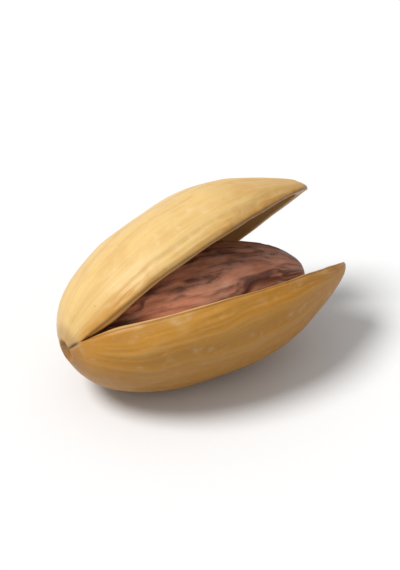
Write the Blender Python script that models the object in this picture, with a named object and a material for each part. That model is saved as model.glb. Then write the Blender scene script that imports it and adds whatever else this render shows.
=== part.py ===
"""A pistachio in its naturally split shell, lying on the small flat spot under its lower valve.

The nut has two solids. The shell is one piece of hard wall: its two valves are still joined
round the stem end, and gape from there to the apex. The kernel lies loose inside, on the
lower valve.

The nut is shaped in its own frame: +X runs from the stem end (base) to the apex, -Y is the
front suture, where the split is longest, and Z is square to the suture plane, so that the
upper valve is at +Z. It is then tilted into its resting pose on the ground, Z = 0.
"""

import math

import bmesh
import bpy
from mathutils import Vector

MM = 0.001

# The closed nut, before its valves gape.
NUT_LENGTH = 20.5 * MM  # stem end to apex, without the beak
NUT_WIDTH = 12.4 * MM  # front to back at mid-length, without the keel
NUT_THICKNESS = 11.3 * MM  # valve to valve at mid-length
BEAK = 0.9 * MM  # how far the pointed tip stands out of the ovoid,
BEAK_TAPER = 0.36  # how much slimmer than the ovoid it gets,
BEAK_START = 0.25  # and where both begin, from the middle (0) to the apex (1)
BOW = 0.35 * MM  # the back suture is this much more bowed than the front one
STEM_SHARE = 0.15  # how much fuller the stem end is than the apex
KEEL = 0.02  # how much the sutures stand out of a plain oval section,
KEEL_SHARPNESS = 6  # and how narrow that ridge is

# The shell's wall.
WALL_SIDE = 0.9 * MM
WALL_STEM = 1.7 * MM
WALL_APEX = 1.1 * MM

# The split: where it starts behind the stem end on each side, and how each valve leans out.
FRONT_SPLIT_START = 0.5 * MM
BACK_SPLIT_START = 6.0 * MM
GAPE = 0.235  # how steeply a valve leans off the suture plane past the hinge line,
CURL = 0.003 / MM  # and how soon it curls back towards its tip
RIM_BEND = 2.5 * MM  # the rim takes this length to come to that lean,
BELLY_BEND = 0.9  # and the wall away from it this much more per length off the suture plane

# The kernel, in its skin.
KERNEL_LENGTH = 16.4 * MM
KERNEL_WIDTH = 9.0 * MM
KERNEL_THICKNESS = 8.0 * MM
KERNEL_POINT = 0.19  # how much slimmer its apex end is than its stem end
KERNEL_PLACE = Vector((0.0, 0.2, -0.92)) * MM  # its middle, in the nut's frame
KERNEL_TILT = math.radians(9.0)  # it leans down with the lower valve

# The resting pose on the ground.
ROLL = math.radians(47.0)  # the open front suture is turned up by this much
PITCH = math.radians(7.0)  # the apex is raised by this much
FLAT_DEPTH = 0.32 * MM  # what the flat spot takes off the belly of the lower valve

AROUND = 40  # facets round each ovoid; even, so that points lie on both sutures
ALONG = 26  # facets from the stem end to the apex
KERNEL_AROUND = 28
KERNEL_ALONG = 20
ON_SUTURE = 1e-6  # a point this near the suture plane is on it


def clear_scene():
    for obj in list(bpy.data.objects):
        bpy.data.objects.remove(obj)


def make_collection(name):
    collection = bpy.data.collections.new(name)
    bpy.context.scene.collection.children.link(collection)
    return collection


def make_material(name, color, roughness):
    material = bpy.data.materials.new(name)
    material.use_nodes = True
    surface = material.node_tree.nodes["Principled BSDF"]
    surface.inputs["Base Color"].default_value = (*color, 1.0)
    surface.inputs["Roughness"].default_value = roughness
    surface.inputs["Metallic"].default_value = 0.0
    return material


def make_object(name, bm, collection, material=None):
    mesh = bpy.data.meshes.new(name)
    bm.to_mesh(mesh)
    bm.free()
    mesh.shade_smooth()
    mesh.set_sharp_from_angle(angle=math.radians(40))
    if material:
        mesh.materials.append(material)
    obj = bpy.data.objects.new(name, mesh)
    collection.objects.link(obj)
    return obj


def ovoid_point(ball_point, stem_x, apex_x, width, thickness):
    """Carries a point of the unit ball, poles on Z, to an ovoid of the nut's shape."""
    along = ball_point.z
    ring = math.hypot(ball_point.x, ball_point.y)
    around = math.atan2(ball_point.y, ball_point.x)
    keel = 1 + KEEL * math.cos(around) ** KEEL_SHARPNESS
    beak = max(0.0, (along - BEAK_START) / (1 - BEAK_START)) ** 2
    fullness = ring * (1 - STEM_SHARE * along) * (1 - BEAK_TAPER * beak) * keel
    return Vector(
        (
            stem_x + (apex_x - stem_x) * (along + 1) / 2 + BEAK * beak,
            -math.cos(around) * fullness * width / 2 + BOW * (1 - along**2),
            math.sin(around) * fullness * thickness / 2,
        )
    )


def make_ovoid(bm, stem_x, apex_x, width, thickness):
    """Adds a closed ovoid to the mesh and returns its points."""
    points = bmesh.ops.create_uvsphere(
        bm, u_segments=AROUND, v_segments=ALONG, radius=1.0
    )["verts"]
    for point in points:
        point.co = ovoid_point(point.co, stem_x, apex_x, width, thickness)
    return points


def suture_point(from_stem, side):
    """The closed shell's outside on a suture, this far along; side is -1 in front, 1 behind."""
    half = NUT_LENGTH / 2
    along = from_stem / half - 1
    ball_point = Vector((-side * math.sqrt(1 - along**2), 0, along))
    return ovoid_point(ball_point, -half, half, NUT_WIDTH, NUT_THICKNESS)


def hinge_line():
    """A point on the hinge line, and the direction in the suture plane square to it, to the apex."""
    front = suture_point(FRONT_SPLIT_START, -1)
    back = suture_point(BACK_SPLIT_START, 1)
    line = (back - front).normalized()
    return front, Vector((line.y, -line.x, 0))


def gaped(point, side, hinge, outward):
    """Leans one valve outwards past the hinge line. Its rim bends at once, its belly gradually."""
    past = (point - hinge).dot(outward)
    height = side * point.z
    bend = RIM_BEND + BELLY_BEND * height
    share = max(past, 0) / bend
    reach = bend * (share**2 / 2 if share < 1 else share - 0.5)
    lean = (GAPE - CURL * reach) * reach
    return Vector((point.x, point.y, side * (height + lean)))


def split_and_gape(bm):
    """Opens both ovoids along the suture plane from the hinge line to the apex."""
    hinge, outward = hinge_line()
    suture = [
        edge
        for edge in bm.edges
        if all(abs(point.co.z) < ON_SUTURE for point in edge.verts)
        and any((point.co - hinge).dot(outward) > 0 for point in edge.verts)
    ]
    bmesh.ops.split_edges(bm, edges=suture)
    for point in bm.verts:
        middle = sum(face.calc_center_median().z for face in point.link_faces)
        point.co = gaped(point.co, math.copysign(1, middle), hinge, outward)


def make_shell(collection, material):
    """The outer and the inner ovoid, both split, with the rim of the split bridged between them."""
    bm = bmesh.new()
    half = NUT_LENGTH / 2
    make_ovoid(bm, -half, half, NUT_WIDTH, NUT_THICKNESS)
    inner = make_ovoid(
        bm,
        WALL_STEM - half,
        half - WALL_APEX,
        NUT_WIDTH - 2 * WALL_SIDE,
        NUT_THICKNESS - 2 * WALL_SIDE,
    )
    inner_faces = {face for point in inner for face in point.link_faces}
    bmesh.ops.reverse_faces(bm, faces=list(inner_faces))
    split_and_gape(bm)
    rims = [edge for edge in bm.edges if edge.is_boundary]
    bmesh.ops.bridge_loops(bm, edges=rims)
    bmesh.ops.recalc_face_normals(bm, faces=bm.faces[:])
    return make_object("shell", bm, collection, material)


def make_kernel(collection, material):
    """The kernel: a slim ovoid whose apex end is the more pointed one."""
    bm = bmesh.new()
    ball = bmesh.ops.create_uvsphere(
        bm, u_segments=KERNEL_AROUND, v_segments=KERNEL_ALONG, radius=1.0
    )["verts"]
    for point in ball:
        along = point.co.z
        fullness = 1 - KERNEL_POINT * along
        point.co = Vector(
            (
                along * KERNEL_LENGTH / 2,
                -point.co.x * fullness * KERNEL_WIDTH / 2,
                point.co.y * fullness * KERNEL_THICKNESS / 2,
            )
        )
    bmesh.ops.recalc_face_normals(bm, faces=bm.faces[:])
    kernel = make_object("kernel", bm, collection, material)
    kernel.location = KERNEL_PLACE
    kernel.rotation_euler = (0, KERNEL_TILT, 0)
    return kernel


def set_down(nut, shell):
    """Centres the nut over the origin, its lowest point the depth of the flat spot under the ground."""
    bpy.context.view_layer.update()
    points = [shell.matrix_world @ vertex.co for vertex in shell.data.vertices]
    low, high = ([pick(p[axis] for p in points) for axis in range(3)] for pick in (min, max))
    nut.location.x -= (low[0] + high[0]) / 2
    nut.location.y -= (low[1] + high[1]) / 2
    nut.location.z -= low[2] + FLAT_DEPTH


def cut_flat_spot(shell, cutters):
    """Takes the sliver below the ground off the lower valve, which leaves the flat spot it rests on."""
    bm = bmesh.new()
    bmesh.ops.create_cube(bm, size=2 * NUT_LENGTH)
    ground = make_object("ground_cutter", bm, cutters)
    ground.location.z = -NUT_LENGTH
    ground.hide_render = True
    ground.display_type = "WIRE"
    cut = shell.modifiers.new("flat spot", "BOOLEAN")
    cut.operation = "DIFFERENCE"
    cut.object = ground


def main():
    clear_scene()
    parts = make_collection("pistachio")
    cutters = make_collection("cutters")
    shell_material = make_material("nut_shell", (0.78, 0.57, 0.28), 0.5)
    kernel_material = make_material("kernel_skin", (0.26, 0.11, 0.08), 0.55)

    nut = bpy.data.objects.new("resting_pose", None)
    parts.objects.link(nut)
    nut.rotation_euler = (-ROLL, -PITCH, 0)
    shell = make_shell(parts, shell_material)
    kernel = make_kernel(parts, kernel_material)
    shell.parent = nut
    kernel.parent = nut
    set_down(nut, shell)
    cut_flat_spot(shell, cutters)


main()
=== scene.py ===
"""The looks of a roasted pistachio lying in its split shell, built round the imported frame.

Two pieces stand for the two solids: the shell with its rounded rims, ribs, sutures and stem
scar, and the kernel in its wrinkled skin. A Geometry Nodes tree grows each of them from its
sizes, in the nut's own frame and in millimetres: +X runs from the stem end to the apex, -Y is
the front suture and +Z the upper valve. It then lays the piece down where the solid lies.

Both trees leave these values on the points, and the materials read them:
  grain         a direction round the nut, and how far along it: -1 at the stem, 1 at the apex
  outside       1 on the outer skin, 0 on the inner skin, and between them on the rim
  rim           0 on the skins, 1 on the crest of the rim
  to_suture     how far the nearest suture is, in millimetres
  past_hinge    how far past the line where the valves begin to part, in millimetres
  relief        how high the ribs or the wrinkles stand there, 0 to 1
"""

import math

import bmesh
import bpy
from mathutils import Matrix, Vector


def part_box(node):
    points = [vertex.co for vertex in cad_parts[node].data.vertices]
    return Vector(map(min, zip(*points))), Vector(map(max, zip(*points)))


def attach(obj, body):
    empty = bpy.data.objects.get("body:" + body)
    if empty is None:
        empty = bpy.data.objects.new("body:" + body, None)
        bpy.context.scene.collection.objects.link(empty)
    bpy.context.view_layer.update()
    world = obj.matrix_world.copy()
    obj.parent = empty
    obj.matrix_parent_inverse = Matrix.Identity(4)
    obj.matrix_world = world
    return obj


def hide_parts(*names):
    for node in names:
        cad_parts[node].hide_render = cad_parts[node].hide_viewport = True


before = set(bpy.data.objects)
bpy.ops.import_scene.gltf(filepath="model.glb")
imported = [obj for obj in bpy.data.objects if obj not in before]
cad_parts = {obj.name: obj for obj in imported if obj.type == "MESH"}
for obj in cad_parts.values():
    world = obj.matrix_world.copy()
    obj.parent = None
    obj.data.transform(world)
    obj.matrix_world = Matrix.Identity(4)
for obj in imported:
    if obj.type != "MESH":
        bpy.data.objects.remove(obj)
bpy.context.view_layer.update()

MM = 0.001
WELD = 5e-8  # points this near each other are one, in metres

# The sizes of the closed nut and of its split, in millimetres. They are the solids' own, apart
# from a wall that is 0.05 mm thinner at the sides and 0.1 mm thinner at the apex.
SHELL_SIZES = {
    "Length": 20.5,  # stem end to apex, without the beak
    "Width": 12.4,  # front to back at mid-length, without the keel
    "Thickness": 11.3,  # valve to valve at mid-length
    "Beak": 0.9,  # how far the pointed tip stands out of the ovoid,
    "Beak Taper": 0.36,  # how much slimmer than the ovoid it gets,
    "Beak Start": 0.25,  # and where both begin, from the middle (0) to the apex (1)
    "Bow": 0.35,  # the back suture is this much more bowed than the front one
    "Stem Share": 0.15,  # how much fuller the stem end is than the apex
    "Keel": 0.02,  # how much the sutures stand out of a plain oval section,
    "Keel Sharpness": 6.0,  # and how narrow that ridge is
    "Wall Side": 0.85,
    "Wall Stem": 1.7,
    "Wall Apex": 1.0,
}
SPLIT_SIZES = {
    "Front Split Start": 0.5,  # behind the stem end
    "Back Split Start": 6.0,
    "Gape": 0.235,  # how steeply a valve leans off the suture plane past the hinge line,
    "Curl": 0.003,  # and how soon it curls back towards its tip, for each millimetre
    "Rim Bend": 2.5,  # the rim takes this length to come to that lean,
    "Belly Bend": 0.9,  # and the wall away from it this much more per length off the plane
    "Crack": 0.03,  # the valves part by this much,
    "Crack Length": 0.3,  # over this length, where the split starts
    "Rim Round": 0.3,  # how deep the rim's edges are rounded,
    "Rim Start": 1.5,  # this far past the hinge line and beyond
    "Rim Squareness": 0.6,  # 1 is a half round rim, lower is flatter
}
SHELL_RELIEF = {
    "Dent Depth": 0.16,
    "Dents": 0.24,  # how many there are to a millimetre
    "Rib Height": 0.09,
    "Rib Count": 6.5,  # how close the ribs lie, round the nut
    "Rib Stretch": 0.07,  # how close they are along the nut, against that
    "Rib Wander": 0.5,
    "Dimple Depth": 0.03,
    "Dimples": 0.9,  # to a millimetre
    "Seam Depth": 0.12,
    "Seam Width": 0.12,
    "Scar Radius": 0.85,
    "Scar Depth": 0.3,
    "Scar Edge": 0.07,  # how high its edge is raised,
    "Scar Edge Width": 0.3,  # and how wide
}
SHELL_FINENESS = {"Rings": 200, "Outer Columns": 144, "Inner Columns": 44, "Lip Columns": 8}
SHELL_SEED = 3.0
COLUMN_CROWDING = 0.35  # how much closer the columns are at the sutures than between them
RIM_END = 1e-6  # this near its ends, the rim lies on the skins

# The kernel's sizes, in millimetres too.
KERNEL_SIZES = {
    "Length": 16.4,
    "Width": 9.0,
    "Thickness": 8.0,
    "Point": 0.19,  # how much slimmer its apex end is than its stem end
    "Tilt": math.radians(9.0),  # it leans down with the lower valve
}
KERNEL_RELIEF = {
    "Crease Depth": 0.16,
    "Crease Count": 2.6,  # how close the creases lie, round the kernel
    "Crease Width": 0.09,
    "Crease Wander": 0.7,
    "Crease Stretch": 0.3,  # how close they are along the kernel, against round it
    "Wrinkle Depth": 0.07,
    "Wrinkle Count": 8.0,
}
KERNEL_FINENESS = {"Rings": 240, "Columns": 220}
KERNEL_SEED = 11.0

# How the nut lies.
ROLL = math.radians(47.0)  # the open front suture is turned up by this much
PITCH = math.radians(7.0)  # the apex is raised by this much

# Colours, as levels from 0 to 255 on a screen.
SHELL_COLOURS = {
    "ivory": (224, 192, 127),
    # the darker golden of the lower valve: partly the shell's tone, partly painted shade
    "golden": (196, 132, 28),
    "streak": (196, 144, 70),
    "thread": (166, 112, 52),
    # painted shade in the hollows between the ribs, and a painted highlight on their crests
    "hollow": (184, 132, 60),
    "ridge": (240, 212, 146),
    "stain": (180, 122, 54),
    "toast": (150, 96, 44),
    "salt": (244, 226, 190),
    "beak": (186, 134, 92),
    "scar": (118, 78, 44),
    "seam": (74, 42, 20),
    "lining": (206, 166, 108),
    "lining_shade": (178, 132, 84),
    # the crest of the rim: partly the shell's paler edge, partly a painted highlight
    "rim": (232, 196, 134),
}
KERNEL_COLOURS = {
    "maroon": (146, 80, 54),
    "mauve": (166, 122, 98),
    # lit pink: the skin's pink, used as painted light towards the stem end and as a painted
    # highlight on the wrinkles' ridges
    "pink": (222, 144, 108),
    "vein": (84, 40, 34),
    # painted shade in the creases
    "crease": (70, 34, 24),
    "bloom": (190, 166, 150),
    "tip": (176, 132, 92),
}

# The masks that mix them: each is a node group and the values it is placed with.
SHELL_MASKS = {
    "patches": ("mottling", {"Patch Size": 5.5, "Threshold": 0.5, "Softness": 0.2, "Seed": 2.0}),
    "stains": ("mottling", {"Patch Size": 2.2, "Threshold": 0.66, "Softness": 0.12, "Seed": 8.0}),
    "specks": ("mottling", {"Patch Size": 0.55, "Threshold": 0.74, "Softness": 0.05, "Seed": 5.0}),
    "salt": ("mottling", {"Patch Size": 0.8, "Threshold": 0.6, "Softness": 0.12, "Detail": 5.0}),
    "streaks": ("streaks", {"Streaks Around": 11.0, "Threshold": 0.56, "Softness": 0.2}),
    "threads": (
        "streaks",
        {"Streaks Around": 30.0, "Threshold": 0.6, "Softness": 0.14, "Seed": 6.0},
    ),
    "fibres": ("fine_grain", {"Fibres Around": 46.0, "Pore Size": 0.4}),
}
KERNEL_MASKS = {
    "patches": ("mottling", {"Patch Size": 4.5, "Threshold": 0.5, "Softness": 0.14, "Seed": 21.0}),
    "flakes": ("mottling", {"Patch Size": 1.6, "Threshold": 0.62, "Softness": 0.08, "Seed": 27.0}),
    "streaks": (
        "streaks",
        {"Streaks Around": 7.0, "Stretch": 0.16, "Threshold": 0.52, "Softness": 0.14, "Seed": 13.0},
    ),
    "veins": (
        "streaks",
        {"Streaks Around": 24.0, "Stretch": 0.1, "Threshold": 0.58, "Softness": 0.1, "Seed": 17.0},
    ),
    "fibres": ("fine_grain", {"Fibres Around": 26.0, "Pore Size": 0.5}),
}
SHELL_BUMP = 0.03  # how high the finest grain stands, in millimetres
KERNEL_BUMP = 0.06
SPECULAR_LEVEL = 0.38

# The studio, in metres.
KEY_STRENGTH = 2.9
KEY_ANGLE = math.radians(25)  # how large the lamp looks, so how soft its shadows are
KEY_FROM = Vector((-0.5, 0.15, 0.85))  # the direction that its light comes from
SKY_LIGHT = 0.5
SKY_SEEN_EXTRA = 0.55  # the backdrop is this much brighter to look at
FLOOR_SIZE = 4.0
FLOOR_DROP = 0.00002  # how far under the nut's flat spot the floor lies
FLOOR_TONE = (0.8, 0.8, 0.8, 1.0)
FLOOR_BOUNCE_TONE = (0.35, 0.35, 0.35, 1.0)
CAMERA_AZIMUTH = math.radians(-31)
CAMERA_ELEVATION = math.radians(38)
CAMERA_DISTANCE = 0.2
CAMERA_AIM = Vector((0, 0, 0.0065))
CAMERA_LENS = 180
CAMERA_NEAR = 0.001


# ---------------------------------------------------------------- node trees


class Field:
    """A value that changes from point to point. Arithmetic on it adds Math nodes to its tree."""

    def __init__(self, tree, output):
        self.tree = tree
        self.output = output

    def math(self, operation, *terms):
        feeds = dict(enumerate((self, *terms)))
        return made(self.tree, "ShaderNodeMath", feeds, operation=operation)

    def __add__(self, other):
        return self.math("ADD", other)

    def __sub__(self, other):
        return self.math("SUBTRACT", other)

    def __rtruediv__(self, other):
        return (self**-1.0) * other

    def __rsub__(self, other):
        return self.math("MULTIPLY", -1.0) + other

    def __mul__(self, other):
        return self.math("MULTIPLY", other)

    def __truediv__(self, other):
        return self.math("DIVIDE", other)

    def __pow__(self, other):
        return self.math("POWER", other)

    def __neg__(self):
        return self.math("MULTIPLY", -1.0)

    __radd__ = __add__
    __rmul__ = __mul__


def add(tree, kind, feeds=None, **settings):
    """Adds a node. feeds gives its inputs, each a plain value, a Field or a node's output."""
    node = tree.nodes.new(kind)
    for name, value in settings.items():
        setattr(node, name, value)
    for key, value in (feeds or {}).items():
        value = getattr(value, "output", value)
        if isinstance(value, bpy.types.NodeSocket):
            tree.links.new(value, node.inputs[key])
        else:
            node.inputs[key].default_value = value
    return node


def made(tree, kind, feeds=None, output=0, **settings):
    """Adds a node and returns one of its outputs as a Field."""
    return Field(tree, add(tree, kind, feeds, **settings).outputs[output])


def smooth_step(value, low, high, to_low=0.0, to_high=1.0, kind="SMOOTHSTEP"):
    """Carries a Field from low..high to to_low..to_high, and holds it outside."""
    feeds = {"Value": value, "From Min": low, "From Max": high}
    feeds.update({"To Min": to_low, "To Max": to_high})
    return made(value.tree, "ShaderNodeMapRange", feeds, "Result", interpolation_type=kind)


def part_way(value, low, high):
    """How far value is from low to high, held between 0 and 1."""
    return smooth_step(value, low, high, kind="LINEAR")


def vector(x, y, z):
    tree = next(term.tree for term in (x, y, z) if isinstance(term, Field))
    return made(tree, "ShaderNodeCombineXYZ", {"X": x, "Y": y, "Z": z})


def components(field):
    node = add(field.tree, "ShaderNodeSeparateXYZ", {0: field})
    return [Field(field.tree, output) for output in node.outputs]


def scaled(field, factors):
    """Multiplies a vector Field part by part."""
    feeds = {0: field, 1: factors}
    return made(field.tree, "ShaderNodeVectorMath", feeds, operation="MULTIPLY")


def noise(place, scale, detail=2.0, roughness=0.5, seed=0.0):
    """Soft noise, 0 to 1. A different seed gives different noise at the same place."""
    feeds = {"Vector": place, "Scale": scale, "Detail": detail, "Roughness": roughness}
    feeds.update({"W": seed})
    return made(place.tree, "ShaderNodeTexNoise", feeds, noise_dimensions="4D")


def open_tree(name, kind, inputs, outputs):
    """A new tree with named inputs and outputs, and its inputs as Fields. Inputs are
    (name, socket kind, default), outputs (name, socket kind)."""
    tree = bpy.data.node_groups.new(name, kind)
    for title, socket, default in inputs:
        entrance = tree.interface.new_socket(
            title, in_out="INPUT", socket_type="NodeSocket" + socket
        )
        if default is not None:
            entrance.default_value = default
    for title, socket in outputs:
        tree.interface.new_socket(title, in_out="OUTPUT", socket_type="NodeSocket" + socket)
    entry = tree.nodes.new("NodeGroupInput")
    return tree, {title: Field(tree, entry.outputs[title]) for title, *_ in inputs}


def close_tree(tree, results):
    """Links the results, a Field for each output's name, and returns the tree."""
    add(tree, "NodeGroupOutput", results)
    return tree


def floats(values):
    return [(title, "Float", value) for title, value in values.items()]


def integers(values):
    return [(title, "Int", value) for title, value in values.items()]


def swirled(grain, swirl):
    """The grain's direction round the nut, moved aside by the swirl."""
    x, y, along = components(grain)
    return vector(x + swirl, y + swirl, along)


# ---------------------------------------------------------------- geometry steps


def moved(geometry, offset):
    """Moves each point by its own offset."""
    feeds = {"Geometry": geometry, "Offset": offset}
    return made(geometry.tree, "GeometryNodeSetPosition", feeds)


def stored(geometry, title, value, kind="FLOAT"):
    """Leaves a value on the points, under a name."""
    feeds = {"Geometry": geometry, "Name": title, "Value": value}
    settings = {"data_type": kind, "domain": "POINT"}
    return made(geometry.tree, "GeometryNodeStoreNamedAttribute", feeds, **settings)


def without(geometry, *titles):
    """Drops the values of these names."""
    for title in titles:
        feeds = {"Geometry": geometry, "Name": title}
        geometry = made(geometry.tree, "GeometryNodeRemoveAttribute", feeds)
    return geometry


def named(tree, title, kind="FLOAT"):
    """The value that was left on the points under this name."""
    feeds = {"Name": title}
    return made(tree, "GeometryNodeInputNamedAttribute", feeds, "Attribute", data_type=kind)


def at_its_place(geometry):
    """Moves each point to the value stored as its place."""
    feeds = {"Geometry": geometry, "Position": named(geometry.tree, "place", "FLOAT_VECTOR")}
    return made(geometry.tree, "GeometryNodeSetPosition", feeds)


def raised(geometry, height):
    """Moves each point along its normal."""
    feeds = {0: made(geometry.tree, "GeometryNodeInputNormal"), "Scale": height}
    return moved(geometry, made(geometry.tree, "ShaderNodeVectorMath", feeds, operation="SCALE"))


def laid_down(geometry, size):
    """Turns the piece as the nut lies. The middle of its box goes to Rest Middle and its top to
    Rest Top."""
    tree = geometry.tree
    feeds = {"Geometry": geometry, "Rotation": size["Rest Turn"]}
    turned = made(tree, "GeometryNodeTransform", feeds)
    box = add(tree, "GeometryNodeBoundBox", {"Geometry": turned})
    corners = [components(Field(tree, box.outputs[name])) for name in ("Min", "Max")]
    middle = [(low + high) / 2 for low, high in zip(*corners)]
    top = corners[1][2]
    rest = components(size["Rest Middle"])
    offset = vector(rest[0] - middle[0], rest[1] - middle[1], size["Rest Top"] - top)
    feeds = {"Geometry": turned, "Translation": offset}
    return made(tree, "GeometryNodeTransform", feeds)


def finished(geometry, size):
    """Rests the piece on the ground, in metres, with its material on."""
    tree = geometry.tree
    place = made(tree, "GeometryNodeInputPosition")
    below = -(components(place)[2].math("MINIMUM", 0.0))
    geometry = moved(geometry, vector(0.0, 0.0, below))
    feeds = {"Geometry": geometry, "Scale": (MM, MM, MM)}
    geometry = made(tree, "GeometryNodeTransform", feeds)
    geometry = made(tree, "GeometryNodeSetShadeSmooth", {"Geometry": geometry})
    geometry = made(tree, "GeometryNodeRealizeInstances", {"Geometry": geometry})
    feeds = {"Geometry": geometry, "Material": size["Material"]}
    return made(tree, "GeometryNodeSetMaterial", feeds)


LAY_SOCKETS = [
    ("Rest Turn", "Vector", (0.0, 0.0, 0.0)),
    ("Rest Middle", "Vector", (0.0, 0.0, 0.0)),
    ("Rest Top", "Float", 0.0),
    ("Seed", "Float", 0.0),
    ("Material", "Material", None),
]


# ---------------------------------------------------------------- shell


def wall_tree():
    """A point of the closed nut's wall: Wall is 0 on the outer skin and 1 on the inner one."""
    inputs = [("Along", "Float", 0.0), ("Around", "Float", 0.0), ("Wall", "Float", 0.0)]
    inputs += floats(SHELL_SIZES)
    outputs = [("X", "Float"), ("Y", "Float"), ("Z", "Float")]
    tree, size = open_tree("nut_wall", "GeometryNodeTree", inputs, outputs)
    along, around, wall = size["Along"], size["Around"], size["Wall"]
    stem_x = wall * size["Wall Stem"] - size["Length"] / 2
    apex_x = size["Length"] / 2 - wall * size["Wall Apex"]
    inset = wall * size["Wall Side"] * 2
    ring = (1 - along * along).math("MAXIMUM", 0.0).math("SQRT")
    keel = size["Keel"] * around.math("COSINE") ** size["Keel Sharpness"] + 1
    beak = part_way(along, size["Beak Start"], 1.0) ** 2
    taper = (1 - size["Stem Share"] * along) * (1 - size["Beak Taper"] * beak)
    fullness = ring * taper * keel / 2
    bow = size["Bow"] * (1 - along * along)
    x = stem_x + (apex_x - stem_x) * (along + 1) / 2 + size["Beak"] * beak
    y = bow - around.math("COSINE") * fullness * (size["Width"] - inset)
    z = around.math("SINE") * fullness * (size["Thickness"] - inset)
    return close_tree(tree, {"X": x, "Y": y, "Z": z})


def wall_point(wall, size, along, around, share):
    """Its x, y and z, from a node that holds the wall's tree."""
    feeds = {title: size[title] for title in SHELL_SIZES}
    feeds.update({"Along": along, "Around": around, "Wall": share})
    tree = size["Length"].tree
    node = add(tree, "GeometryNodeGroup", feeds, node_tree=wall)
    return [Field(tree, output) for output in node.outputs]


def valve_tree(wall):
    """One valve, from a grid rolled into a loop: its outer skin, its back rim, its inner skin
    and its front rim. Side is 1 for the upper valve and -1 for the lower one."""
    sizes = SHELL_SIZES | SPLIT_SIZES
    inputs = [("Side", "Float", 1.0)] + floats(sizes) + integers(SHELL_FINENESS)
    outputs = [("Geometry", "Geometry")]
    tree, size = open_tree("nut_valve", "GeometryNodeTree", inputs, outputs)
    outer, inner, lip = (size[part + " Columns"] for part in ("Outer", "Inner", "Lip"))
    columns = outer + inner + lip * 2
    feeds = {"Size X": 1.0, "Size Y": 1.0}
    feeds.update({"Vertices X": size["Rings"] + 1, "Vertices Y": columns + 1})
    geometry = made(tree, "GeometryNodeMeshGrid", feeds, "Mesh")
    across, over, _ = components(made(tree, "GeometryNodeInputPosition"))
    along = -(((across + 0.5) * math.pi).math("COSINE"))
    column = ((over + 0.5) * columns).math("ROUND")

    # Where the column lies on the loop, as a share of each stretch of it.
    on_outer = part_way(column, 0.0, outer)
    on_back_rim = part_way(column, outer, outer + lip)
    on_inner = part_way(column, outer + lip, outer + lip + inner)
    on_front_rim = part_way(column, outer + lip + inner, columns)
    sweep = on_outer - on_inner
    share, dip = 0.0, 0.0
    for on_rim, sign in ((on_back_rim, 1), (on_front_rim, -1)):
        turn = on_rim * math.pi
        cosine = turn.math("COSINE")
        level = cosine.math("ABSOLUTE") ** size["Rim Squareness"]
        rim_share = (1 - cosine.math("SIGN") * level) / 2
        share = rim_share * sign + share
        sine = (turn.math("SINE").math("ABSOLUTE") - RIM_END).math("MAXIMUM", 0.0)
        dip = sine ** size["Rim Squareness"] + dip
    crowded = (sweep * 2 * math.pi).math("SINE") * (COLUMN_CROWDING / (2 * math.pi))
    sweep = sweep - crowded

    hinge_front, hinge_back = (
        wall_point(wall, size, size[start] * 2 / size["Length"] - 1, around, 0.0)
        for start, around in (("Front Split Start", 0.0), ("Back Split Start", math.pi))
    )
    line = [hinge_back[axis] - hinge_front[axis] for axis in (0, 1)]
    length = (line[0] ** 2 + line[1] ** 2).math("SQRT")

    def past_hinge(point):
        off = [point[axis] - hinge_front[axis] for axis in (0, 1)]
        return (off[0] * line[1] - off[1] * line[0]) / length

    # The rim's height above the suture plane, as an angle round the nut.
    ring = (1 - along * along).math("MAXIMUM", 0.0).math("SQRT")
    radius = ring * (1 - size["Stem Share"] * along)
    radius = radius * (size["Thickness"] - share * size["Wall Side"] * 2) / 2
    past_rim, rim_angle = {}, {}
    for name, around in (("front", 0.0), ("back", math.pi)):
        past_rim[name] = past_hinge(wall_point(wall, size, along, around, 0.0))
        height = smooth_step(past_rim[name], 0.0, size["Rim Start"]) * size["Rim Round"]
        rim_angle[name] = (height / radius).math("MINIMUM", 0.5).math("ARCSINE")
    open_angle = math.pi - rim_angle["front"] - rim_angle["back"]
    around = rim_angle["front"] + sweep * open_angle

    x, y, height = wall_point(wall, size, along, around, share)
    outer_point = wall_point(wall, size, along, around, 0.0)
    past = past_hinge(outer_point)
    bend = size["Rim Bend"] + size["Belly Bend"] * outer_point[2]
    bent = past.math("MAXIMUM", 0.0) / bend
    reach = bend * ((bent.math("MINIMUM", 1.0) ** 2) / 2 + (bent - 1).math("MAXIMUM", 0.0))
    lean = (size["Gape"] - size["Curl"] * reach) * reach
    lean = lean + part_way(past, 0.0, size["Crack Length"]) * size["Crack"]
    z = size["Side"] * (height * (1 - dip) + lean)

    girth = ring * (1 - size["Stem Share"] * along) * (size["Width"] + size["Thickness"]) / 4
    to_suture = around.math("MINIMUM", math.pi - around) * girth
    grain = vector(around.math("COSINE"), size["Side"] * around.math("SINE"), along)
    geometry = stored(geometry, "place", vector(x, y, z), "FLOAT_VECTOR")
    geometry = stored(geometry, "grain", grain, "FLOAT_VECTOR")
    for title, value in (
        ("outside", 1 - share),
        ("rim", dip),
        ("to_suture", to_suture),
        ("past_hinge", past),
        ("front_past", past_rim["front"]),
        ("back_past", past_rim["back"]),
    ):
        geometry = stored(geometry, title, value)

    # Where the valves are still joined, they have no rim.
    index = made(tree, "GeometryNodeInputIndex")
    joined = []
    for title, on_rim in (("front_past", on_front_rim), ("back_past", on_back_rim)):
        feeds = {"Value": named(tree, title), "Index": index + columns + 1}
        settings = {"data_type": "FLOAT", "domain": "POINT"}
        next_ring = made(tree, "GeometryNodeFieldAtIndex", feeds, **settings)
        inside = on_rim.math("GREATER_THAN", 0.0) * on_rim.math("LESS_THAN", 1.0)
        shut = named(tree, title).math("LESS_THAN", 0.0) * next_ring.math("LESS_THAN", 0.0)
        joined.append(inside * shut)
    unwanted = (joined[0] + joined[1]).math("GREATER_THAN", 0.5)
    feeds = {"Geometry": geometry, "Selection": unwanted}
    geometry = made(tree, "GeometryNodeDeleteGeometry", feeds, domain="POINT")
    return close_tree(tree, {"Geometry": at_its_place(geometry)})


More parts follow.
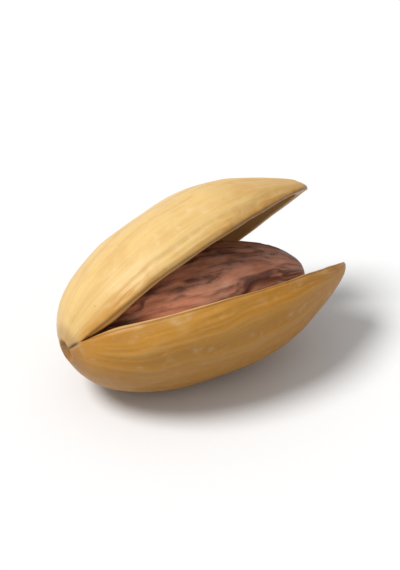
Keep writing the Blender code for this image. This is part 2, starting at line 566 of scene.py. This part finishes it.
def shell_tree():
    """The whole shell: two valves welded round the stem end, laid down, then given its relief."""
    wall = wall_tree()
    valve = valve_tree(wall)
    sizes = SHELL_SIZES | SPLIT_SIZES | SHELL_RELIEF
    inputs = floats(sizes) + integers(SHELL_FINENESS) + LAY_SOCKETS
    outputs = [("Geometry", "Geometry")]
    tree, size = open_tree("pistachio_shell", "GeometryNodeTree", inputs, outputs)
    feeds = {title: size[title] for title in SHELL_SIZES | SPLIT_SIZES | SHELL_FINENESS}
    upper, lower = (
        made(tree, "GeometryNodeGroup", feeds | {"Side": side}, node_tree=valve)
        for side in (1.0, -1.0)
    )
    lower = made(tree, "GeometryNodeFlipFaces", {"Mesh": lower})
    joined = add(tree, "GeometryNodeJoinGeometry")
    for part in (lower, upper):
        tree.links.new(part.output, joined.inputs[0])
    feeds = {"Geometry": Field(tree, joined.outputs[0]), "Distance": WELD / MM}
    geometry = laid_down(made(tree, "GeometryNodeMergeByDistance", feeds), size)

    place = named(tree, "place", "FLOAT_VECTOR")
    grain = named(tree, "grain", "FLOAT_VECTOR")
    outside = named(tree, "outside")
    seed = size["Seed"]
    x, y, z = components(place)
    along = components(grain)[2]
    off_axis = (y**2 + z**2).math("SQRT")
    at_stem = outside * x.math("LESS_THAN", 0.0)

    # Broad dents, and ribs that run from the stem end and fade out near both ends.
    belly = smooth_step(along.math("ABSOLUTE"), 0.55, 0.98, 1.0, 0.15)
    dents = (noise(place, size["Dents"], 1.0, seed=seed) - 0.5) * size["Dent Depth"] * 2
    swirl = (noise(place, 0.16, 1.0, seed=seed + 5) - 0.5) * size["Rib Wander"]
    rib_grain = scaled(swirled(grain, swirl), vector(1.0, 1.0, size["Rib Stretch"]))
    ribs = noise(rib_grain, size["Rib Count"], 3.0, 0.55, seed + 9)
    rib_height = smooth_step(ribs, 0.3, 0.72)
    dimples = smooth_step(noise(place, size["Dimples"], 1.0, 0.5, seed + 3), 0.55, 0.8)
    height = dents + (rib_height - 0.5) * size["Rib Height"] * belly * outside
    height = height - dimples * size["Dimple Depth"] * outside

    # The seam where the valves are still joined.
    seam = (-(named(tree, "to_suture") / size["Seam Width"]) ** 2).math("EXPONENT")
    shut = smooth_step(named(tree, "past_hinge"), -0.6, 0.1, 1.0, 0.0)
    off_scar = smooth_step(off_axis, size["Scar Radius"], size["Scar Radius"] + 0.4)
    height = height - seam * shut * off_scar * size["Seam Depth"] * outside

    # The stem scar: a rough round pit with a raised edge.
    pit = smooth_step(off_axis / size["Scar Radius"], 0.45, 1.0, 1.0, 0.0)
    fibres = (noise(place, 2.2, 3.0, 0.6, seed + 7) - 0.5) * 0.5 + 1
    from_edge = (off_axis - size["Scar Radius"]) / size["Scar Edge Width"]
    edge = (-from_edge**2).math("EXPONENT")
    height = height + at_stem * (edge * size["Scar Edge"] - pit * fibres * size["Scar Depth"])

    geometry = stored(geometry, "relief", rib_height)
    geometry = without(raised(geometry, height), "place", "front_past", "back_past")
    return close_tree(tree, {"Geometry": finished(geometry, size)})


# ---------------------------------------------------------------- kernel


def kernel_tree():
    """The kernel: an ovoid, slimmer at the apex, with lengthwise creases and finer wrinkles."""
    inputs = floats(KERNEL_SIZES | KERNEL_RELIEF) + integers(KERNEL_FINENESS) + LAY_SOCKETS
    outputs = [("Geometry", "Geometry")]
    tree, size = open_tree("pistachio_kernel", "GeometryNodeTree", inputs, outputs)
    feeds = {"Segments": size["Columns"], "Rings": size["Rings"], "Radius": 1.0}
    geometry = made(tree, "GeometryNodeMeshUVSphere", feeds, "Mesh")
    across, up, along = components(made(tree, "GeometryNodeInputPosition"))
    around = up.math("ARCTAN2", across)
    grain = vector(around.math("COSINE"), around.math("SINE"), along)
    geometry = stored(geometry, "grain", grain, "FLOAT_VECTOR")
    fullness = 1 - size["Point"] * along
    place = vector(
        along * size["Length"] / 2,
        -across * fullness * size["Width"] / 2,
        up * fullness * size["Thickness"] / 2,
    )
    geometry = at_its_place(stored(geometry, "place", place, "FLOAT_VECTOR"))
    feeds = {"Geometry": geometry, "Rotation": vector(0.0, size["Tilt"], 0.0)}
    geometry = laid_down(made(tree, "GeometryNodeTransform", feeds), size)

    place = named(tree, "place", "FLOAT_VECTOR")
    grain = named(tree, "grain", "FLOAT_VECTOR")
    seed = size["Seed"]
    along = components(grain)[2]
    belly = smooth_step(along.math("ABSOLUTE"), 0.7, 1.0, 1.0, 0.2)
    swirl = (noise(place, 0.22, 2.0, seed=seed) - 0.5) * size["Crease Wander"]
    crease_grain = scaled(swirled(grain, swirl), vector(1.0, 1.0, size["Crease Stretch"]))
    folds = noise(crease_grain, size["Crease Count"], 2.0, 0.5, seed + 4)
    crease = 1 - smooth_step((folds - 0.5).math("ABSOLUTE"), 0.0, size["Crease Width"])
    fine = noise(crease_grain, size["Wrinkle Count"], 3.0, 0.6, seed + 8)
    wrinkle = smooth_step(fine, 0.3, 0.7)
    height = (wrinkle - 0.5) * size["Wrinkle Depth"] * belly
    height = height - crease * size["Crease Depth"] * belly
    height = height + (folds - 0.5) * size["Crease Depth"]
    relief = wrinkle * 0.5 + (1 - crease) * 0.5
    geometry = stored(geometry, "relief", relief)
    geometry = without(raised(geometry, height), "place")
    return close_tree(tree, {"Geometry": finished(geometry, size)})


def grown(name, tree, node, values):
    """The plain mesh that a tree grows, laid where the frame's node lies."""
    low, high = (Vector(corner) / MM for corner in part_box(node))
    values = values | {
        "Rest Turn": (-ROLL, -PITCH, 0.0),
        "Rest Middle": (low + high) / 2,
        "Rest Top": high.z,
    }
    seedling = bpy.data.objects.new(name + "_seedling", bpy.data.meshes.new(name))
    bpy.context.scene.collection.objects.link(seedling)
    growth = seedling.modifiers.new("growth", "NODES")
    growth.node_group = tree
    sockets = {item.name: item for item in tree.interface.items_tree}
    for title, value in values.items():
        growth[sockets[title].identifier] = value
    seedling.update_tag()
    bpy.context.view_layer.update()
    graph = bpy.context.evaluated_depsgraph_get()
    mesh = bpy.data.meshes.new_from_object(
        seedling.evaluated_get(graph), preserve_all_data_layers=True, depsgraph=graph
    )
    bpy.data.objects.remove(seedling)
    mesh.name = name
    bm = bmesh.new()
    bm.from_mesh(mesh)
    bmesh.ops.remove_doubles(bm, verts=bm.verts, dist=WELD)
    bmesh.ops.recalc_face_normals(bm, faces=bm.faces)
    bm.to_mesh(mesh)
    bm.free()
    piece = bpy.data.objects.new(name, mesh)
    bpy.context.scene.collection.objects.link(piece)
    return piece


# ---------------------------------------------------------------- finishes

# Where a Mix node has its factor and its colours.
MIX_FACTOR, MIX_LOW, MIX_HIGH, MIX_RESULT = 0, 6, 7, 2


def tints(colours):
    """Colours given as sRGB levels of 0 to 255, as the linear colours that shaders take."""

    def linear(level):
        value = level / 255
        return value / 12.92 if value <= 0.04045 else ((value + 0.055) / 1.055) ** 2.4

    return {name: (*map(linear, levels), 1.0) for name, levels in colours.items()}


def blend(mask, low, high):
    """The colour low where the mask is 0 and high where it is 1."""
    feeds = {MIX_FACTOR: mask, MIX_LOW: low, MIX_HIGH: high}
    return made(mask.tree, "ShaderNodeMix", feeds, MIX_RESULT, data_type="RGBA")


def layered(skin, *layers):
    """Lays one colour after another over the skin. A layer is (mask, share, colour)."""
    for mask, share, colour in layers:
        skin = blend(mask * share, skin, colour)
    return skin


def grain_streaks_group():
    """Streaks that run from the stem end to the apex. Streaks Around says how close they lie
    round the nut, and Stretch how close they are along it, against that."""
    inputs = [
        ("Grain", "Vector", None),
        ("Streaks Around", "Float", 12.0),
        ("Stretch", "Float", 0.06),
        ("Wander", "Float", 0.3),
        ("Threshold", "Float", 0.5),
        ("Softness", "Float", 0.2),
        ("Seed", "Float", 0.0),
    ]
    tree, size = open_tree("grain_streaks", "ShaderNodeTree", inputs, [("Mask", "Float")])
    swirl = (noise(size["Grain"], 1.1, 2.0, seed=size["Seed"]) - 0.5) * size["Wander"]
    around_x, around_y, along = components(size["Grain"])
    place = vector(around_x + swirl, around_y + swirl, along * size["Stretch"])
    streaks = noise(place, size["Streaks Around"], 4.0, 0.62, size["Seed"] + 2)
    low = size["Threshold"] - size["Softness"]
    high = size["Threshold"] + size["Softness"]
    return close_tree(tree, {"Mask": smooth_step(streaks, low, high)})


def mottling_group():
    """Soft patches of the given size, in millimetres."""
    inputs = [
        ("Patch Size", "Float", 3.0),
        ("Threshold", "Float", 0.5),
        ("Softness", "Float", 0.15),
        ("Detail", "Float", 3.0),
        ("Seed", "Float", 0.0),
    ]
    tree, size = open_tree("mottling", "ShaderNodeTree", inputs, [("Mask", "Float")])
    place = made(tree, "ShaderNodeTexCoord", output="Object")
    scale = (1 / MM) / size["Patch Size"]
    patches = noise(place, scale, size["Detail"], 0.55, size["Seed"])
    low = size["Threshold"] - size["Softness"]
    high = size["Threshold"] + size["Softness"]
    return close_tree(tree, {"Mask": smooth_step(patches, low, high)})


def fine_grain_group():
    """The height of the finest fibres and pores, which are too small to model."""
    inputs = [
        ("Grain", "Vector", None),
        ("Fibres Around", "Float", 40.0),
        ("Fibre Height", "Float", 0.5),
        ("Pore Size", "Float", 0.35),
        ("Pore Depth", "Float", 0.5),
    ]
    tree, size = open_tree("fine_grain", "ShaderNodeTree", inputs, [("Height", "Float")])
    fibres = noise(scaled(size["Grain"], (1.0, 1.0, 0.08)), size["Fibres Around"], 3.0, 0.6)
    place = made(tree, "ShaderNodeTexCoord", output="Object")
    scale = (1 / MM) / size["Pore Size"]
    pores = smooth_step(noise(place, scale, 2.0, 0.5, 4.0), 0.6, 0.8)
    height = fibres * size["Fibre Height"] - pores * size["Pore Depth"]
    return close_tree(tree, {"Height": height})


def relief_shade_highlight_group():
    """Painted shade, darker in the hollows of the relief, and a painted highlight, lighter on its
    ridges.
    """
    inputs = [
        ("Skin", "Color", None),
        ("Hollow", "Color", None),
        ("Ridge", "Color", None),
        ("Relief", "Float", 0.5),
        ("Hollow Share", "Float", 0.3),
        ("Ridge Share", "Float", 0.3),
    ]
    tree, size = open_tree("relief_tone", "ShaderNodeTree", inputs, [("Color", "Color")])
    hollow = smooth_step(size["Relief"], 0.05, 0.5, 1.0, 0.0) * size["Hollow Share"]
    ridge = smooth_step(size["Relief"], 0.55, 0.95) * size["Ridge Share"]
    toned = blend(ridge, blend(hollow, size["Skin"], size["Hollow"]), size["Ridge"])
    return close_tree(tree, {"Color": toned})


def part_of(tree, group, values):
    """Places a node group, with these values on its inputs."""
    return made(tree, "ShaderNodeGroup", values, node_tree=group)


def masks_of(tree, groups, recipes, grain):
    """Places each recipe's node group, on the grain where the group follows it."""
    masks = {}
    for name, (group, values) in recipes.items():
        follows = {} if group == "mottling" else {"Grain": grain}
        masks[name] = part_of(tree, groups[group], values | follows)
    return masks


def value_on(tree, title, output="Fac"):
    """The value that the geometry left on the points under this name."""
    return made(tree, "ShaderNodeAttribute", {}, output, attribute_name=title)


def finish(name, bump):
    """A material with a bump of the given height in millimetres, and its Principled shader."""
    material = bpy.data.materials.new(name)
    material.use_nodes = True
    tree = material.node_tree
    surface = tree.nodes["Principled BSDF"]
    relief = add(tree, "ShaderNodeBump", {"Strength": 1.0, "Distance": bump * MM})
    tree.links.new(relief.outputs["Normal"], surface.inputs["Normal"])
    surface.inputs["Specular IOR Level"].default_value = SPECULAR_LEVEL
    return material, tree, surface, relief


def shell_finish(groups):
    """Satin, ivory above and golden below, where the darker golden of the lower valve is partly the
    shell's tone and partly painted shade, toasted brown at its edges and both ends.
    """
    material, tree, surface, bump = finish("nut_shell", SHELL_BUMP)
    tone = tints(SHELL_COLOURS)
    grain = value_on(tree, "grain", "Vector")
    relief = value_on(tree, "relief")
    outside, rim = value_on(tree, "outside"), value_on(tree, "rim")
    to_suture, past = value_on(tree, "to_suture"), value_on(tree, "past_hinge")
    _, height, along = components(grain)
    mask = masks_of(tree, groups, SHELL_MASKS, grain)
    patches, stains, streaks = mask["patches"], mask["stains"], mask["streaks"]

    # The skin of the valves, more golden towards the apex, and darker and more golden on the lower
    # valve: partly the shell's tone, partly painted shade.
    gold_and_shade = smooth_step(height + (patches - 0.5) * 0.5, -0.25, 0.3, 0.92, 0.1)
    gold_and_shade = gold_and_shade + smooth_step(along, 0.0, 1.0) * 0.4
    skin = layered(
        blend(gold_and_shade, tone["ivory"], tone["golden"]),
        (streaks, 0.22, tone["streak"]),
        (mask["threads"], 0.12, tone["thread"]),
    )
    # Painted shade in the hollows between the ribs, and a painted highlight on their crests.
    values = {"Skin": skin, "Hollow": tone["hollow"], "Ridge": tone["ridge"], "Relief": relief}
    values.update({"Hollow Share": 0.22, "Ridge Share": 0.12})
    skin = part_of(tree, groups["relief_tone"], values)

    # Salt dust is left in the hollows. The sutures, the beak and the stem end are toasted.
    dust = smooth_step(relief, 0.1, 0.6, 1.0, 0.2) * patches * mask["salt"]
    by_suture = smooth_step(to_suture, 0.0, 1.1, 1.0, 0.0)
    beak = smooth_step(along + (patches - 0.5) * 0.05, 0.93, 0.995)
    stem = smooth_step(along + (stains - 0.5) * 0.02, -0.992, -0.95, 1.0, 0.0)
    scar = smooth_step(along, -0.996, -0.989, 1.0, 0.0)
    joined = smooth_step(past, -0.5, 0.15, 1.0, 0.0) * (1 - scar)
    seam = smooth_step(to_suture, 0.02, 0.16, 1.0, 0.0) * joined
    skin = layered(
        skin,
        (stains, 0.22, tone["stain"]),
        (mask["specks"], 0.35, tone["toast"]),
        (dust, 0.36, tone["salt"]),
        (by_suture, stains * 0.5 + streaks * 0.3 + 0.12, tone["toast"]),
        (beak, 0.75, tone["beak"]),
        (stem, 0.4, tone["toast"]),
        (scar, mask["threads"] * 0.3 + 0.5, tone["scar"]),
        (seam, 0.75, tone["seam"]),
    )

    # The lining, the crest of the rim, paler partly as the shell's own edge and partly as a painted
    # highlight, and its darker outer edge.
    lining = blend(patches * 0.35 + streaks * 0.2, tone["lining"], tone["lining_shade"])
    # Partly a painted highlight: the crest of the rounded rim is paler.
    crest = rim * smooth_step(outside, 0.05, 0.3) * smooth_step(outside, 0.7, 0.95, 1.0, 0.0)
    edge = smooth_step(outside, 0.8, 0.95) * smooth_step(rim, 0.1, 0.6)
    colour = layered(
        blend(smooth_step(outside, 0.0, 0.3), lining, skin),
        (crest, 0.8, tone["rim"]),
        (edge, streaks * 0.3 + 0.35, tone["seam"]),
    )
    tree.links.new(colour.output, surface.inputs["Base Color"])

    rough = 0.44 + streaks * 0.08 - patches * 0.08 + stains * 0.06 + scar * 0.25
    rough = rough - smooth_step(outside, 0.0, 0.3, 0.06, 0.0)
    tree.links.new(rough.output, surface.inputs["Roughness"])
    grained = mask["fibres"] * smooth_step(outside, 0.0, 0.5, 0.3, 1.0)
    tree.links.new(grained.output, bump.inputs["Height"])
    return material


def kernel_finish(groups):
    """A dry, wrinkled skin: maroon and mauve, with painted shade in its creases, a painted
    highlight on its wrinkles, painted light towards the stem end, and a pale papery bloom.
    """
    material, tree, surface, bump = finish("kernel_skin", KERNEL_BUMP)
    tone = tints(KERNEL_COLOURS)
    grain = value_on(tree, "grain", "Vector")
    relief = value_on(tree, "relief")
    along = components(grain)[2]
    mask = masks_of(tree, groups, KERNEL_MASKS, grain)

    # Pinker and lighter towards the stem end, partly the skin's own pink and partly painted light
    # where the kernel lies in the valves' shade, and paler at both tips.
    pink_lit_end = smooth_step(along, -0.7, 0.35, 0.95, 0.0)
    tips = smooth_step(along.math("ABSOLUTE"), 0.95, 1.0)
    skin = layered(
        blend(mask["patches"] * 0.55 + mask["streaks"] * 0.35, tone["maroon"], tone["mauve"]),
        (pink_lit_end, 1.0, tone["pink"]),
        (mask["veins"], 0.35, tone["vein"]),
    )
    # Painted shade in the creases, and a painted highlight in lit pink on the ridges of the
    # wrinkles.
    values = {"Skin": skin, "Hollow": tone["crease"], "Ridge": tone["pink"], "Relief": relief}
    values.update({"Hollow Share": 0.85, "Ridge Share": 0.4})
    skin = layered(
        part_of(tree, groups["relief_tone"], values),
        (mask["flakes"] * mask["streaks"], 0.5, tone["bloom"]),
        (tips, 0.6, tone["tip"]),
    )
    tree.links.new(skin.output, surface.inputs["Base Color"])

    rough = 0.5 + mask["flakes"] * 0.12 + mask["veins"] * 0.06 - mask["streaks"] * 0.08
    tree.links.new(rough.output, surface.inputs["Roughness"])
    tree.links.new(mask["fibres"].output, bump.inputs["Height"])
    return material


# ---------------------------------------------------------------- scene


def floor_finish():
    """Matt and pale. It throws back less light than it shows, so the underside keeps its shade."""
    material = bpy.data.materials.new("studio_floor")
    material.use_nodes = True
    tree = material.node_tree
    surface = tree.nodes["Principled BSDF"]
    surface.inputs["Roughness"].default_value = 0.9
    bounced = made(tree, "ShaderNodeLightPath", output="Is Diffuse Ray")
    colour = blend(bounced, FLOOR_TONE, FLOOR_BOUNCE_TONE)
    tree.links.new(colour.output, surface.inputs["Base Color"])
    return material


def set_stage():
    """A pale floor and backdrop, and one large soft lamp, high up on the camera's left."""
    world = bpy.data.worlds.new("studio")
    world.use_nodes = True
    bpy.context.scene.world = world
    tree = world.node_tree
    background = tree.nodes["Background"]
    seen = made(tree, "ShaderNodeLightPath", output="Is Camera Ray")
    strength = part_way(seen, 0.0, 1.0) * SKY_SEEN_EXTRA + SKY_LIGHT
    tree.links.new(strength.output, background.inputs["Strength"])
    background.inputs["Color"].default_value = (1, 1, 1, 1)

    bpy.ops.mesh.primitive_plane_add(size=FLOOR_SIZE, location=(0, 0, -FLOOR_DROP))
    floor = bpy.context.object
    floor.name = "studio_floor"
    floor.data.materials.append(floor_finish())

    lamp = bpy.data.lights.new("key_light", "SUN")
    lamp.energy = KEY_STRENGTH
    lamp.angle = KEY_ANGLE
    key = bpy.data.objects.new("key_light", lamp)
    key.rotation_euler = KEY_FROM.to_track_quat("Z", "Y").to_euler()
    bpy.context.scene.collection.objects.link(key)


def set_camera():
    """Looks down at the open side, from the front and the stem end's side."""
    towards = Vector(
        (
            math.sin(CAMERA_AZIMUTH) * math.cos(CAMERA_ELEVATION),
            -math.cos(CAMERA_AZIMUTH) * math.cos(CAMERA_ELEVATION),
            math.sin(CAMERA_ELEVATION),
        )
    )
    data = bpy.data.cameras.new("camera")
    data.lens = CAMERA_LENS
    data.clip_start = CAMERA_NEAR
    camera = bpy.data.objects.new("camera", data)
    camera.location = CAMERA_AIM + towards * CAMERA_DISTANCE
    camera.rotation_euler = towards.to_track_quat("Z", "Y").to_euler()
    bpy.context.scene.collection.objects.link(camera)
    bpy.context.scene.camera = camera


def main():
    bpy.context.scene.view_settings.view_transform = "Standard"
    groups = {
        "streaks": grain_streaks_group(),
        "mottling": mottling_group(),
        "fine_grain": fine_grain_group(),
        "relief_tone": relief_shade_highlight_group(),
    }
    shell_skin, kernel_skin = shell_finish(groups), kernel_finish(groups)
    for node, tree, seed, skin in (
        ("shell", shell_tree(), SHELL_SEED, shell_skin),
        ("kernel", kernel_tree(), KERNEL_SEED, kernel_skin),
    ):
        piece = grown("pistachio_" + node, tree, node, {"Seed": seed, "Material": skin})
        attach(piece, "root")
        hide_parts(node)
    set_stage()
    set_camera()


main()
